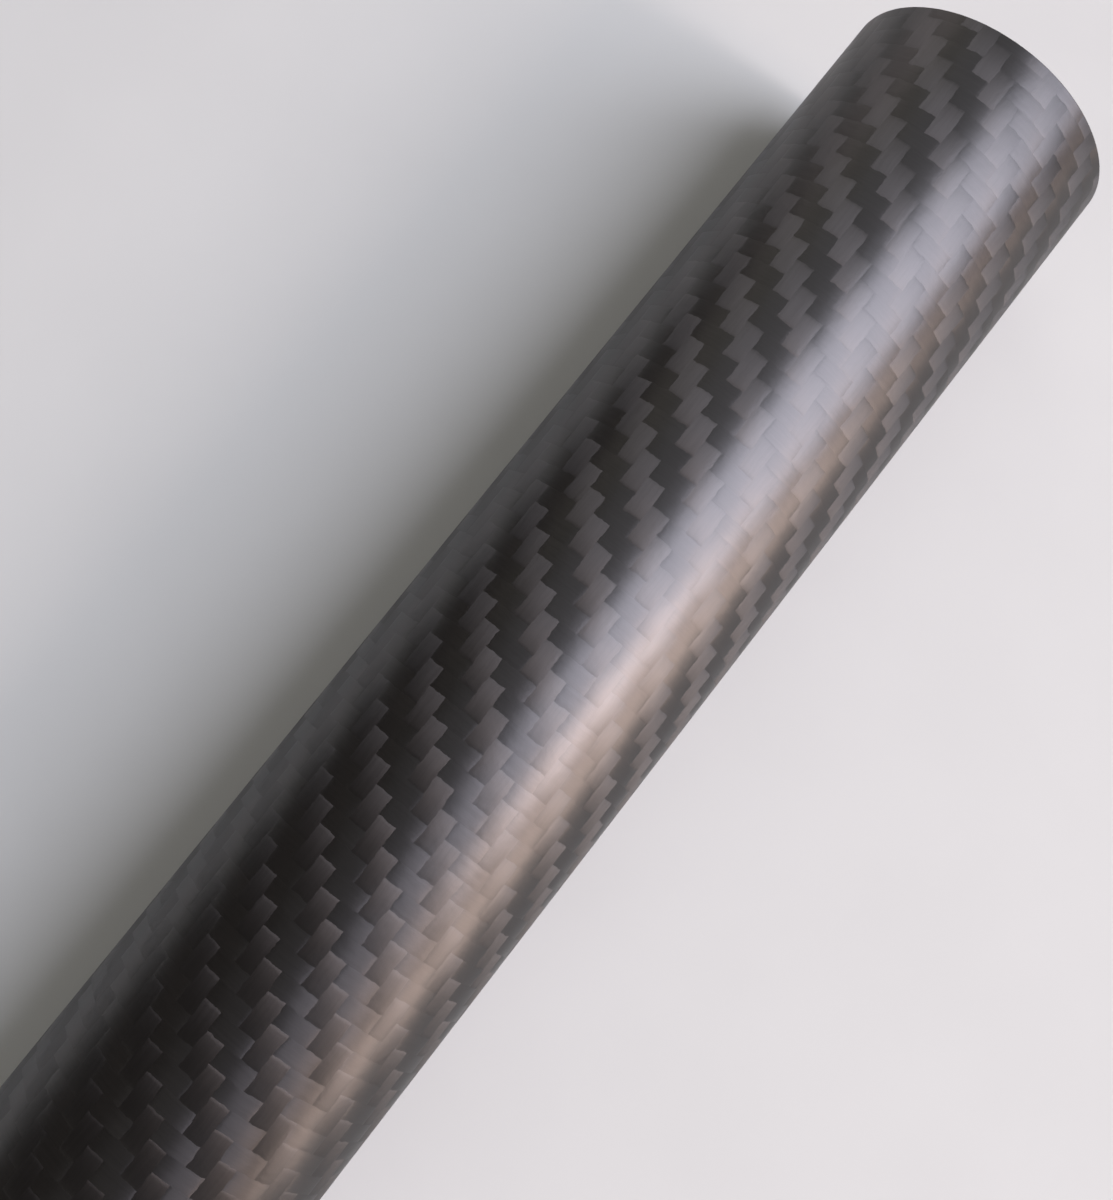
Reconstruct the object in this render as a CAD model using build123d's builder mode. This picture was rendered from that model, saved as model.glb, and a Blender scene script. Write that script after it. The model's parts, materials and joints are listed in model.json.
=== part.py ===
from build123d import *

import os

# A straight length of round carbon fibre tube, one rolled and cured piece.
# Millimetres, +Z up. The tube lies along X on a level floor, and the origin is
# on the floor under the middle of its length. +X points to the end that shows.

# Driving dimensions
outer_diameter = 32.0  # over the outside of the wall
wall_thickness = 1.0  # of the cured laminate, which leaves a 30 mm bore
tube_length = 500.0  # one piece of stock, cut square at both ends
edge_break = 0.15  # arris taken off the cut edges, outside and in the bore

# Sizes that follow from them
outer_radius = outer_diameter / 2
bore_radius = outer_radius - wall_thickness
axis_height = outer_radius  # the wall rests on the floor
back_end = Plane.YZ.offset(-tube_length / 2)  # its X runs along Y, its Y up

with BuildPart() as carbon_tube:
    with BuildSketch(back_end):
        with Locations((0, axis_height)):
            Circle(outer_radius)
            Circle(bore_radius, mode=Mode.SUBTRACT)
    extrude(amount=tube_length)

    cut_edges = carbon_tube.edges().filter_by(GeomType.CIRCLE)
    chamfer(cut_edges, length=edge_break)

carbon_tube.part.label = "carbon_tube"

os.makedirs("parts", exist_ok=True)
export_step(carbon_tube.part, "parts/carbon_tube.step")
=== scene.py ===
import json
import math

import bpy
import numpy as np
from mathutils import Matrix, Vector


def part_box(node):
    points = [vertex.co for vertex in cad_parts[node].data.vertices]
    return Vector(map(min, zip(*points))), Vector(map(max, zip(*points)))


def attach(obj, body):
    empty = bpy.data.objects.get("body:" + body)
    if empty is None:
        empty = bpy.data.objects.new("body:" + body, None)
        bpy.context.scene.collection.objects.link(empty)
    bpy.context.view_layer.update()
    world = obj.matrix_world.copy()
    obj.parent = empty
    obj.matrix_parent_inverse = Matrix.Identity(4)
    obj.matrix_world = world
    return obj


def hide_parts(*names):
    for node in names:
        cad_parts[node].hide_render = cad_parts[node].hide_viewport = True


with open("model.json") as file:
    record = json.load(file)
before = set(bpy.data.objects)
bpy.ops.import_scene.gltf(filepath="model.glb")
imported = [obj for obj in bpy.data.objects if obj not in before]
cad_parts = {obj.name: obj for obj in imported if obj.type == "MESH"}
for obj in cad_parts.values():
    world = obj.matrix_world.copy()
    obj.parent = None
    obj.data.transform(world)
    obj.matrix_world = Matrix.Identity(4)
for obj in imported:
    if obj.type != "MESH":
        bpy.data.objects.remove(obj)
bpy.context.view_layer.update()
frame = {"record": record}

# The tube's sizes come from the frame. Lengths are metres, and the shaders work in millimetres
MM = 0.001
mounts = {mount["name"]: mount for mount in frame["record"]["mounts"]}
low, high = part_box("carbon_tube")
half_length = (high.x - low.x) / 2
outer_radius = mounts["outside"]["dims"]["r_mm"] * MM
bore_radius = mounts["bore_front"]["dims"]["r_mm"] * MM
edge_break = half_length - mounts["outside"]["dims"]["length_mm"] * MM / 2
axis_height = mounts["outside"]["pos_m"][2]

# The twill, measured on the photograph's unrolled surface
TOW_PITCH = 2.043  # mm, the same along the tube and round it
TOWS_AT_RIM = 0.35  # part of a hoop tow left at the photographed rim
TOWS_AT_VIEW = 0.5  # part of an axial tow left at the line that faces the camera
VIEW_LEAN = math.radians(4.1143)  # that line's angle from the top of the tube, towards -Y
TOW_WANDER, WANDER_RATE = 0.24, 0.16  # of a tow, from side to side, and how often per mm
EDGE_WANDER, RAGGED_RATE = 0.14, 1.3  # the same for the small steps in a tow's edge

# The tows' relief under the coat, as slopes. A place on a float is -1 to 1 along it and across it
AXIAL_ARCH, HOOP_ARCH = 0.135, 0.09  # at the ends of a float, which is a low arch
CROWN = 0.012  # at the sides of a tow, which is slightly round
END_LEAN, END_START, END_FULL = 0.07, 0.82, 0.96  # added near a float's ends, and between which places
SEAM_LEAN, SEAM_START = 0.09, 0.88  # added beside the next tow, and from which place
FLOAT_TILT = 0.05  # the whole range of a float's own lean, half of it either way

# The fibres: what bare ones reflect, and how much their shade differs from place to place. Both sets are the
# same fibre: the axial tows carry a painted sheen, a lighter tone than the hoop tows, which are painted in
# shade
AXIAL_SHEEN_TONE, HOOP_SHADED_TONE = (0.048, 0.0455, 0.0440), (0.0405, 0.0383, 0.0370)
FLOAT_SHADE, TOW_SHADE, STRAND_SHADE = 0.16, 0.10, 0.15
AXIAL_ROUGHNESS, HOOP_ROUGHNESS, STRAND_ROUGHNESS = 0.55, 0.50, 0.03
FIBRE_SPREAD = 0.889  # how far the reflection is drawn out square to the fibres
FIBRE_TINT = (0.6, 0.6, 0.6, 1.0)  # what they reflect at a glancing angle
JOINT_HALF, JOINT_BLEND = 0.12, 0.40  # mm from the line underneath where the cloth's two edges meet
JOINT_TONE = 0.4  # of the fibres' tone

# The satin coat over them
COAT_WEIGHT, COAT_ROUGHNESS, COAT_IOR = 0.42, 0.33, 2.2
COAT_SINK = 0.004  # mm, where tows cross
SINK_SIDE, SINK_END, SINK_END_SHARE = 0.55, 0.75, 0.6  # where that starts, and its share at a float's end
PEEL_DEPTH, PEEL_RATE = 0.014, 0.8  # mm, and how often per mm
JOINT_DEPTH = 0.03  # mm

# The cut ends, where the fibres of a ply are cut across or lie along the cut
PLY_THICKNESS = 0.2  # mm
PLY_TONE = (0.034, 0.033, 0.032)
ACROSS_SHADE, ALONG_SHADE = 0.55, 1.45
ACROSS_ROUGHNESS, ALONG_ROUGHNESS = 0.72, 0.5
GRAIN_RATE = 7.0  # per mm
CUT_DEPTH = 0.02  # mm

# The bore
RESIN_TONE = (0.020, 0.0195, 0.019)
RESIN_ROUGHNESS = (0.30, 0.48)  # from where it shines to where it is dull
RESIN_DEPTH = 0.02  # mm


class Wire:
    """A node's output. Arithmetic on it adds the Math nodes that do the same."""

    def __init__(self, graph, socket):
        self.graph, self.socket = graph, socket

    def __add__(self, other):
        return self.graph.math("ADD", self, other)

    def __sub__(self, other):
        return self.graph.math("SUBTRACT", self, other)

    def __rsub__(self, other):
        return self.graph.math("SUBTRACT", other, self)

    def __mul__(self, other):
        return self.graph.math("MULTIPLY", self, other)

    def __truediv__(self, other):
        return self.graph.math("DIVIDE", self, other)

    def __abs__(self):
        return self.graph.math("ABSOLUTE", self)

    def __floor__(self):
        return self.graph.math("FLOOR", self)

    __radd__, __rmul__ = __add__, __mul__


class Graph:
    """A material's nodes, with a short call for each kind that is used here."""

    def __init__(self, name):
        self.material = bpy.data.materials.new(name)
        self.material.use_nodes = True
        self.tree = self.material.node_tree
        self.tree.nodes.clear()
        output = self.tree.nodes.new("ShaderNodeOutputMaterial")
        self.shader = self.tree.nodes.new("ShaderNodeBsdfPrincipled")
        self.tree.links.new(self.shader.outputs[0], output.inputs["Surface"])

    def feed(self, socket, value):
        """Links a wire to an input, or sets the input to a plain value."""
        if isinstance(value, Wire):
            self.tree.links.new(value.socket, socket)
        else:
            socket.default_value = value

    def node(self, kind, inputs, output=0, **settings):
        """Adds a node with these inputs, by name or number, and returns one output."""
        node = self.tree.nodes.new("ShaderNode" + kind)
        for name, value in settings.items():
            setattr(node, name, value)
        for name, value in inputs.items():
            self.feed(node.inputs[name], value)
        return Wire(self, node.outputs[output])

    def math(self, operation, *values):
        return self.node("Math", dict(enumerate(values)), operation=operation)

    def vector(self, operation, *values, output="Vector"):
        return self.node("VectorMath", dict(enumerate(values)), output, operation=operation)

    def scaled(self, vector, amount):
        return self.node("VectorMath", {0: vector, "Scale": amount}, operation="SCALE")

    def combine(self, x, y, z):
        return self.node("CombineXYZ", {"X": x, "Y": y, "Z": z})

    def split(self, vector):
        """The three parts of a vector."""
        first = self.node("SeparateXYZ", {"Vector": vector})
        return [Wire(self, output) for output in first.socket.node.outputs]

    def pick(self, choice, one, zero):
        """one where choice is 1, and zero where it is 0."""
        return self.node("Mix", {"Factor": choice, "A": zero, "B": one})

    def pick_vector(self, choice, one, zero):
        """pick for two vectors. Inputs 4 and 5 and output 1 are the Mix node's vectors."""
        return self.node("Mix", {"Factor": choice, 4: zero, 5: one}, 1, data_type="VECTOR")

    def ramp(self, value, start, end, low=0.0, high=1.0):
        """Runs smoothly from low to high as value goes from start to end."""
        limits = {"Value": value, "From Min": start, "From Max": end, "To Min": low, "To Max": high}
        return self.node("MapRange", limits, interpolation_type="SMOOTHSTEP")

    def spread(self, noise, low, high):
        """Runs from low to high over the values between which most of a noise lies."""
        return self.ramp(noise, 0.3, 0.7, low, high)

    def noise(self, place, detail=2.0, roughness=0.5):
        """Soft noise, about 0 to 1, that changes over 1 unit of the place given."""
        inputs = {"Vector": place, "Scale": 1.0, "Detail": detail, "Roughness": roughness}
        return self.node("TexNoise", inputs)

    def noises(self, place, rate, detail):
        """Three soft noises of a place, each with so many changes per unit."""
        return self.split(self.node("TexNoise", {"Vector": place, "Scale": rate, "Detail": detail}, "Color"))

    def random(self, place, output="Value"):
        return self.node("TexWhiteNoise", {"Vector": place}, output, noise_dimensions="3D")

    def bump(self, height, depth, normal=None):
        """The normal of a surface whose height runs over this depth, in millimetres."""
        inputs = {"Height": height, "Strength": 1.0, "Distance": depth * MM}
        if normal:
            inputs["Normal"] = normal
        return self.node("Bump", inputs)

    def position(self):
        """The point's x, y and height over the axis in the part's frame, in millimetres."""
        x, y, z = self.split(self.scaled(self.node("TexCoord", {}, "Object"), 1 / MM))
        return x, y, z - axis_height / MM

    def finish(self, **values):
        """Feeds the shader. Each name is a Principled input's, with _ for a space."""
        for name, value in values.items():
            self.feed(self.shader.inputs[name.replace("_", " ")], value)
        return self.material


def angle_round(graph, y, height):
    """The angle round the tube, 0 on top. Its two ends meet underneath."""
    return graph.math("ARCTAN2", 0 - y, height)


def twill(graph):
    """The 2/2 twill as wires: which tow is on top at a point, and where on its float the point is."""
    x, y, height = graph.position()
    side = angle_round(graph, y, height)
    from_rim = half_length / MM - x
    round_mm = (side - VIEW_LEAN) * (outer_radius / MM)
    flat = graph.combine(from_rim, round_mm, 0.0)

    # Tows are never quite straight: each set wanders a little from side to side
    wander = graph.noises(flat, WANDER_RATE, detail=2.0)
    ragged = graph.noises(flat, RAGGED_RATE, detail=1.0)
    shift = [(wander[i] - 0.5) * TOW_WANDER + (ragged[i] - 0.5) * EDGE_WANDER for i in range(2)]
    a = from_rim / TOW_PITCH + TOWS_AT_RIM + shift[0]
    c = round_mm / TOW_PITCH + TOWS_AT_VIEW + shift[1]

    # A float passes over two tows, and each tow's floats start one tow further on than its neighbour's
    hoop_tow, axial_tow = math.floor(a), math.floor(c)
    step = graph.math("FLOORED_MODULO", hoop_tow - axial_tow + 0.5, 4.0) - 0.5  # 0, 1, 2 or 3
    axial = graph.math("GREATER_THAN", step, 1.5)
    in_a, in_c = a - hoop_tow, c - axial_tow
    tow = graph.pick(axial, axial_tow, hoop_tow)
    return {
        "axial": axial,  # 1 where the tow on top runs along the tube, 0 where it runs round it
        "run": graph.pick(axial, step - 3 + in_a, in_c - step),  # -1 to 1 along the float
        "across": graph.pick(axial, in_c, in_a) * 2 - 1,  # -1 to 1 across it
        "float": graph.combine(tow, hoop_tow - axial_tow - step, axial),
        "tow": graph.combine(tow, axial, 0.0),
        "along_mm": graph.pick(axial, from_rim, round_mm),
        "across_mm": graph.pick(axial, c, a) * TOW_PITCH,
        "flat": flat,
        "to_joint": math.pi * outer_radius / MM - abs(side) * (outer_radius / MM),
        "back": graph.combine(-1.0, 0.0, 0.0),  # away from the photographed rim
        "round": graph.vector("NORMALIZE", graph.combine(0.0, 0 - height, y)),
    }


def tow_normal(graph, weave):
    """The tows' own surface under the coat. A float is a low arch, and it leans over more near its
    ends, where it can catch the light as a thin line."""
    axial, run, across = weave["axial"], weave["run"], weave["across"]
    end = graph.ramp(abs(run), END_START, END_FULL, 0.0, END_LEAN) * graph.math("SIGN", run)
    seam = graph.ramp(abs(across), SEAM_START, 1.0, 0.0, SEAM_LEAN) * graph.math("SIGN", across)
    turn = graph.split(graph.random(weave["float"], "Color"))
    lean_run = run * graph.pick(axial, AXIAL_ARCH, HOOP_ARCH) + end + (turn[0] - 0.5) * FLOAT_TILT
    lean_across = across * CROWN + seam + (turn[1] - 0.5) * FLOAT_TILT
    back = graph.pick(axial, lean_run, lean_across)
    around = graph.pick(axial, lean_across, lean_run)
    normal = graph.node("NewGeometry", {}, "Normal")
    lean = graph.vector("ADD", graph.scaled(weave["back"], back), graph.scaled(weave["round"], around))
    return graph.vector("NORMALIZE", graph.vector("ADD", normal, lean))


def streaks(graph, weave, along, across, apart, roughness):
    """Noise drawn out along each tow, with so many changes per mm along it and across it. apart
    sets the axial tows' noise apart from the hoop tows'."""
    place = graph.combine(weave["along_mm"] * along, weave["across_mm"] * across, weave["axial"] * apart)
    return graph.noise(place, 2.0, roughness)


def coat_surface(graph, weave, off_joint):
    """The coat is almost level. It sinks a little where tows cross and over the cloth's joint, and
    has a faint orange peel."""
    inside = graph.ramp(abs(weave["across"]), SINK_SIDE, 1.0, 1.0, 0.0)
    short_of_end = graph.ramp(abs(weave["run"]), SINK_END, 1.0, 1.0, 1 - SINK_END_SHARE)
    peel = graph.noise(graph.scaled(weave["flat"], PEEL_RATE), 3.0, 0.6)
    sunk = graph.bump(inside * short_of_end, COAT_SINK)
    return graph.bump(off_joint, JOINT_DEPTH, graph.bump(peel, PEEL_DEPTH, sunk))


def carbon_twill():
    """Woven carbon fibre under a satin clear coat."""
    graph = Graph("carbon_twill")
    weave = twill(graph)
    axial = weave["axial"]
    strands = streaks(graph, weave, along=0.12, across=3.0, apart=9, roughness=0.6)
    fibres = streaks(graph, weave, along=0.35, across=13.0, apart=5, roughness=0.7)
    streak = strands * 0.5 + fibres * 0.5
    drawn = graph.random(weave["float"]) * FLOAT_SHADE + graph.random(weave["tow"]) * TOW_SHADE
    shade = drawn + (1 - (FLOAT_SHADE + TOW_SHADE) / 2)
    tone = graph.ramp(streak, 0.32, 0.68, 1 - STRAND_SHADE, 1 + STRAND_SHADE) * shade
    off_joint = graph.ramp(weave["to_joint"], JOINT_HALF, JOINT_BLEND)
    # Painted sheen: the axial tows' base colour is lighter than the hoop tows', though both are the same
    # fibre
    sheen_painted_tone = graph.pick_vector(axial, AXIAL_SHEEN_TONE, HOOP_SHADED_TONE)
    roughness = graph.pick(axial, AXIAL_ROUGHNESS, HOOP_ROUGHNESS)
    return graph.finish(
        Base_Color=graph.scaled(sheen_painted_tone, tone * (off_joint * (1 - JOINT_TONE) + JOINT_TONE)),
        Metallic=1.0,
        Specular_Tint=FIBRE_TINT,
        Roughness=roughness + graph.spread(streak, -STRAND_ROUGHNESS, STRAND_ROUGHNESS),
        Anisotropic=FIBRE_SPREAD,
        Tangent=graph.pick_vector(axial, weave["round"], weave["back"]),  # square to the fibres
        Normal=tow_normal(graph, weave),
        Coat_Weight=COAT_WEIGHT,
        Coat_Roughness=COAT_ROUGHNESS,
        Coat_IOR=COAT_IOR,
        Coat_Normal=coat_surface(graph, weave, off_joint),
    )


def cut_laminate():
    """The sawn end of the wall: thin plies, dull where their fibres are cut across."""
    graph = Graph("cut_laminate")
    x, y, height = graph.position()
    radius = graph.vector("LENGTH", graph.combine(0.0, y, height), output="Value")
    grain = graph.noise(graph.scaled(graph.combine(x, y, height), GRAIN_RATE), 4.0, 0.7)
    waver = graph.noise(graph.combine(angle_round(graph, y, height) * 2.5, 0.0, 0.0), 2.0)
    ply = (radius - bore_radius / MM) / PLY_THICKNESS + waver * 0.5 + grain * 0.25
    cut_across = graph.ramp(graph.math("PINGPONG", ply, 1.0), 0.35, 0.65)
    tone = graph.pick(cut_across, ACROSS_SHADE, ALONG_SHADE) * graph.spread(grain, 0.7, 1.3)
    # The blade's marks run straight across the whole end
    marks = graph.noise(graph.combine(y * 0.2, height * 5.0, 0.0), 2.0)
    surface = grain * 0.6 + cut_across * 0.3 + marks * 0.5
    return graph.finish(
        Base_Color=graph.scaled(graph.combine(*PLY_TONE), tone),
        Roughness=graph.pick(cut_across, ACROSS_ROUGHNESS, ALONG_ROUGHNESS),
        Normal=graph.bump(surface, CUT_DEPTH),
    )


def bore_resin():
    """The bore: dark resin that took its finish from the mandrel, with fibres faint in it."""
    graph = Graph("bore_resin")
    x, y, height = graph.position()
    turn = angle_round(graph, y, height) * (bore_radius / MM)
    fibres = graph.noise(graph.combine(x * 0.03, turn * 2.5, 0.0), 3.0, 0.6)
    dull = graph.noise(graph.combine(x * 0.05, turn * 0.15, 4.0), 2.0)
    return graph.finish(
        Base_Color=graph.scaled(graph.combine(*RESIN_TONE), graph.spread(fibres, 0.7, 1.4)),
        Roughness=graph.spread(fibres * 0.5 + dull * 0.5, *RESIN_ROUGHNESS),
        Normal=graph.bump(fibres, RESIN_DEPTH),
    )


SEGMENTS = 360  # round the tube
LENGTHS = 10  # strips of faces along it
TWILL_FACES, CUT_FACES, BORE_FACES = range(3)

# The bake map: the outside's two halves fill most of it, then come the bore and the ends' strips
MAP_START, MAP_SPAN = 0.004, 0.992
HALF_STEP, HALF_SPAN = 0.408, 0.402
BORE_START, BORE_SPAN = 0.822, 0.130
CUT_START, CUT_STEP, CUT_SPAN = 0.958, 0.006, 0.005


def wall_rings():
    """The wall's section as (x, radius, kind of the faces up to the next ring), once round."""
    reach = half_length - edge_break
    stations = np.linspace(-reach, reach, LENGTHS + 1)
    outside = [(x, outer_radius, TWILL_FACES) for x in stations]
    inside = [(x, bore_radius, BORE_FACES) for x in stations[::-1]]
    ends = []
    for end in (half_length, -half_length):
        cut = [(end, outer_radius - edge_break, CUT_FACES), (end, bore_radius + edge_break, CUT_FACES)]
        ends.append(cut if end > 0 else cut[::-1])
    for wall in (outside, inside):
        wall[-1] = wall[-1][:2] + (CUT_FACES,)
    return outside + ends[0] + inside + ends[1]


def bake_place(kind, strip, x, turn, far):
    """A corner's place on the bake map. turn is 0 to 1 round the tube, and far is 1 at the second of
    the strip's two rings."""
    along = (x + half_length) / (2 * half_length)
    if kind == TWILL_FACES:
        half = int(strip >= LENGTHS // 2)
        return MAP_START + MAP_SPAN * (2 * along - half), MAP_START + half * HALF_STEP + HALF_SPAN * turn
    if kind == BORE_FACES:
        return MAP_START + MAP_SPAN * along, BORE_START + BORE_SPAN * turn
    return MAP_START + MAP_SPAN * turn, CUT_START + CUT_STEP * strip + CUT_SPAN * far


def tube_piece():
    """The whole wall as one closed mesh."""
    rings = wall_rings()
    corners = []
    for x, radius, _ in rings:
        for k in range(SEGMENTS):
            angle = 2 * math.pi * k / SEGMENTS  # from straight down, towards -Y
            corners.append((x, -radius * math.sin(angle), axis_height - radius * math.cos(angle)))
    faces, kinds, places = [], [], []
    strips_made = []
    for i, (x, _, kind) in enumerate(rings):
        j = (i + 1) % len(rings)
        next_x = rings[j][0]
        strip = strips_made.count(kind)
        strips_made.append(kind)
        for k in range(SEGMENTS):
            n = (k + 1) % SEGMENTS
            faces.append((i * SEGMENTS + k, j * SEGMENTS + k, j * SEGMENTS + n, i * SEGMENTS + n))
            kinds.append(kind)
            here, there = k / SEGMENTS, (k + 1) / SEGMENTS
            places.append(bake_place(kind, strip, x, here, 0))
            places.append(bake_place(kind, strip, next_x, here, 1))
            places.append(bake_place(kind, strip, next_x, there, 1))
            places.append(bake_place(kind, strip, x, there, 0))
    mesh = bpy.data.meshes.new("tube_wall")
    mesh.from_pydata(corners, [], faces)
    mesh.polygons.foreach_set("material_index", kinds)
    bake_map = mesh.uv_layers.new(name="OFBake")
    bake_map.data.foreach_set("uv", np.array(places, dtype=np.float32).ravel())
    mesh.shade_smooth()
    mesh.set_sharp_from_angle(angle=math.radians(30))
    for material in (carbon_twill(), cut_laminate(), bore_resin()):
        mesh.materials.append(material)
    tube = bpy.data.objects.new("tube_wall", mesh)
    bpy.context.scene.collection.objects.link(tube)
    return tube


FLOOR_TONE = (0.655, 0.674, 0.638)  # pale, and slightly green, which turns neutral in this light
FAR_TONE = 0.35  # the far floor and the horizon, which run into each other
FADE_START, FADE_END = 0.34, 0.72  # m from the tube's middle
FLOOR_REACH = 6.0  # m from the tube's middle
MOTTLE_RATE = 60.0  # per m


def pale_floor():
    """The floor. Far from the tube it evens out to one plain tone, without a bright patch by a lamp."""
    graph = Graph("pale_floor")
    place = graph.node("TexCoord", {}, "Object")
    mottle = graph.noise(graph.scaled(place, MOTTLE_RATE), 3.0)
    far = graph.ramp(graph.vector("LENGTH", place, output="Value"), FADE_START, FADE_END)
    seen = 0
    for ray in ("Is Camera Ray", "Is Glossy Ray", "Is Transmission Ray"):
        seen = graph.math("MAXIMUM", seen, graph.node("LightPath", {}, ray))
    material = graph.finish(
        Base_Color=graph.scaled(graph.combine(*FLOOR_TONE), graph.spread(mottle, 0.985, 1.0) * (1 - far)),
        Roughness=0.9,
        Specular_IOR_Level=0.0,
        Emission_Color=graph.scaled(graph.combine(FAR_TONE, FAR_TONE, FAR_TONE), far * seen),
        Emission_Strength=1.0,
    )
    material.cycles.emission_sampling = "NONE"
    mesh = bpy.data.meshes.new("floor")
    corners = [(x * FLOOR_REACH, y * FLOOR_REACH, 0.0) for x, y in ((-1, -1), (1, -1), (1, 1), (-1, 1))]
    mesh.from_pydata(corners, [], [(0, 1, 2, 3)])
    mesh.materials.append(material)
    floor = bpy.data.objects.new("floor", mesh)
    bpy.context.scene.collection.objects.link(floor)


# The camera, held close above the tube, near its end
VIEW_ELEVATION = math.radians(81.5025)
AXIS_TURN = math.radians(51.7634)  # from the picture's right up to the tube's axis
CAMERA_BACK = 88.29 * MM  # from the photographed rim, along the axis
CAMERA_DISTANCE = 142.92 * MM  # from the axis
SENSOR, LENS = 36.0, 40.568  # mm. The sensor's size is along the picture's long side
CLIP_START = 10 * MM


def photo_camera():
    data = bpy.data.cameras.new("photo_camera")
    data.lens, data.sensor_width, data.clip_start = LENS, SENSOR, CLIP_START
    camera = bpy.data.objects.new("photo_camera", data)
    bpy.context.scene.collection.objects.link(camera)
    lean = Vector((0.0, -math.sin(VIEW_LEAN), math.cos(VIEW_LEAN)))
    on_axis = Vector((half_length - CAMERA_BACK, 0.0, axis_height))
    camera.location = on_axis + lean * CAMERA_DISTANCE
    camera.rotation_euler = (math.pi / 2 - VIEW_ELEVATION, 0.0, -AXIS_TURN)
    bpy.context.scene.camera = camera


LAMP_DISTANCE = 1.6  # m, from the photographed stretch to each lamp
LIT_BACK = CAMERA_BACK * 0.7  # from the photographed rim to the point that the lamps face


def soft_light(name, towards_rim, towards_side, width, depth, watts, colour):
    """A soft box that faces the photographed stretch. The angles, in degrees, lean it from straight
    above towards the rim (+X) and towards the photograph's right (-Y)."""
    aim = Vector((half_length - LIT_BACK, 0.0, axis_height))
    a, b = math.radians(towards_rim), math.radians(towards_side)
    way = Vector((math.sin(a), -math.cos(a) * math.sin(b), math.cos(a) * math.cos(b)))
    along = Vector((math.cos(a), math.sin(a) * math.sin(b), -math.sin(a) * math.cos(b)))
    data = bpy.data.lights.new(name, "AREA")
    data.shape, data.size, data.size_y = "RECTANGLE", width, depth
    data.energy, data.color = watts, colour
    light = bpy.data.objects.new(name, data)
    turned = Matrix((along, way.cross(along), way)).transposed()
    light.matrix_world = Matrix.Translation(aim + way * LAMP_DISTANCE) @ turned.to_4x4()
    light.visible_camera = False
    bpy.context.scene.collection.objects.link(light)


def studio_light():
    """The large key light, two warm ones lower on its side, and faint fill from elsewhere."""
    soft_light("key", 19.4, 41.0, width=1.07, depth=1.30, watts=32.8, colour=(0.87, 0.86, 1.0))
    soft_light("side", 3.4, 59.5, width=0.36, depth=0.45, watts=9.5, colour=(1.0, 0.78, 0.71))
    soft_light("low_side", 1.0, 82.0, width=1.20, depth=0.45, watts=12.6, colour=(1.0, 0.77, 0.67))
    soft_light("rim_fill", 30.0, -8.0, width=1.77, depth=1.35, watts=3.9, colour=(0.95, 0.94, 1.0))
    soft_light("back_fill", -58.0, -16.0, width=0.90, depth=0.75, watts=2.0, colour=(1.0, 0.97, 0.92))
    soft_light("left_fill", 27.0, -45.0, width=1.16, depth=0.71, watts=1.0, colour=(1.0, 0.96, 0.86))
    soft_light("low_left", 40.0, -70.0, width=0.56, depth=0.78, watts=1.5, colour=(1.0, 0.89, 0.90))


ROOM_TONE, HORIZON_TONE = (0.055, 0.046, 0.041, 1.0), (FAR_TONE, FAR_TONE, FAR_TONE, 1.0)
HORIZON_HEIGHT = 0.19  # how far the light of the horizon reaches up, as the height of a direction


def studio_world():
    """A dim room that is lighter at the horizon. Inputs 6 and 7 and output 2 are the Mix node's colours."""
    world = bpy.data.worlds.new("studio")
    world.use_nodes = True
    tree = world.node_tree
    way = tree.nodes.new("ShaderNodeTexCoord")
    parts = tree.nodes.new("ShaderNodeSeparateXYZ")
    glow = tree.nodes.new("ShaderNodeMapRange")
    glow.interpolation_type = "SMOOTHSTEP"
    glow.inputs["From Max"].default_value = HORIZON_HEIGHT
    glow.inputs["To Min"].default_value, glow.inputs["To Max"].default_value = 1.0, 0.0
    tone = tree.nodes.new("ShaderNodeMix")
    tone.data_type = "RGBA"
    tone.inputs[6].default_value, tone.inputs[7].default_value = ROOM_TONE, HORIZON_TONE
    tree.links.new(way.outputs["Generated"], parts.inputs["Vector"])
    tree.links.new(parts.outputs["Z"], glow.inputs["Value"])
    tree.links.new(glow.outputs["Result"], tone.inputs["Factor"])
    tree.links.new(tone.outputs[2], tree.nodes["Background"].inputs["Color"])
    bpy.context.scene.world = world


tube = tube_piece()
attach(tube, "root")
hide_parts("carbon_tube")
pale_floor()
photo_camera()
studio_light()
studio_world()
bpy.context.scene.view_settings.view_transform = "Standard"
